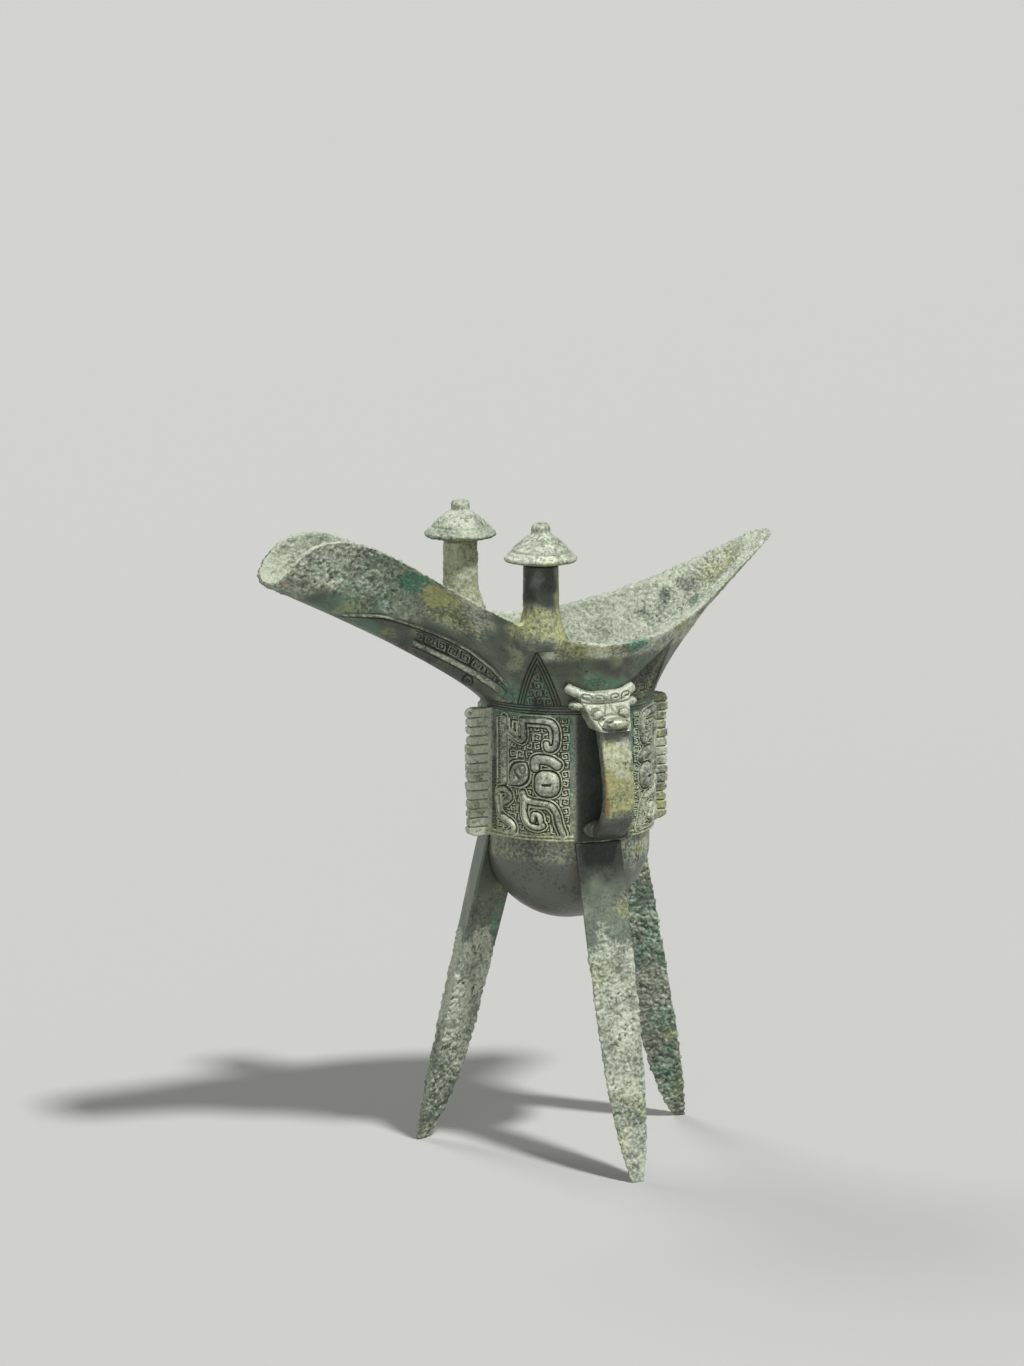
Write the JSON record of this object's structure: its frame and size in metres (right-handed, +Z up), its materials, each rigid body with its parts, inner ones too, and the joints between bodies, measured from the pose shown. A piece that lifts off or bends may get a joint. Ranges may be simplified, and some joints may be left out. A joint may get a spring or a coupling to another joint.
{
  "type": "bronze jue wine vessel",
  "caption": "Bronze jue, a ritual wine vessel: a round-bottomed cup on splayed blade legs, with a channel spout, pointed tail, capped posts and strap handle.",
  "frame": {"origin": "centre of the vessel's footprint box on the surface that it stands on", "axes": "+Z up, -X towards the spout and +X towards the tail, -Y towards the handle"},
  "size_m": [0.1694, 0.0886, 0.2004],
  "materials": {
    "smooth_bronze": "satin",
    "green_bronze": "matte",
    "crusted_bronze": "matte"
  },
  "bodies": {
    "root": {"belly": "smooth_bronze", "neck": "green_bronze", "spout": "crusted_bronze", "tail": "crusted_bronze", "rim_lip": "crusted_bronze", "handle_post": "smooth_bronze", "handle_post_cap": "green_bronze", "back_post": "crusted_bronze", "back_post_cap": "crusted_bronze", "handle_strap": "smooth_bronze", "handle_head": "smooth_bronze", "spout_flange": "green_bronze", "tail_flange": "green_bronze", "back_flange": "green_bronze", "frieze_spout_handle": "green_bronze", "frieze_tail_handle": "green_bronze", "frieze_tail_back": "green_bronze", "frieze_spout_back": "green_bronze", "handle_leg": "crusted_bronze", "spout_leg": "crusted_bronze", "tail_leg": "crusted_bronze"}
  },
  "joints": []
}
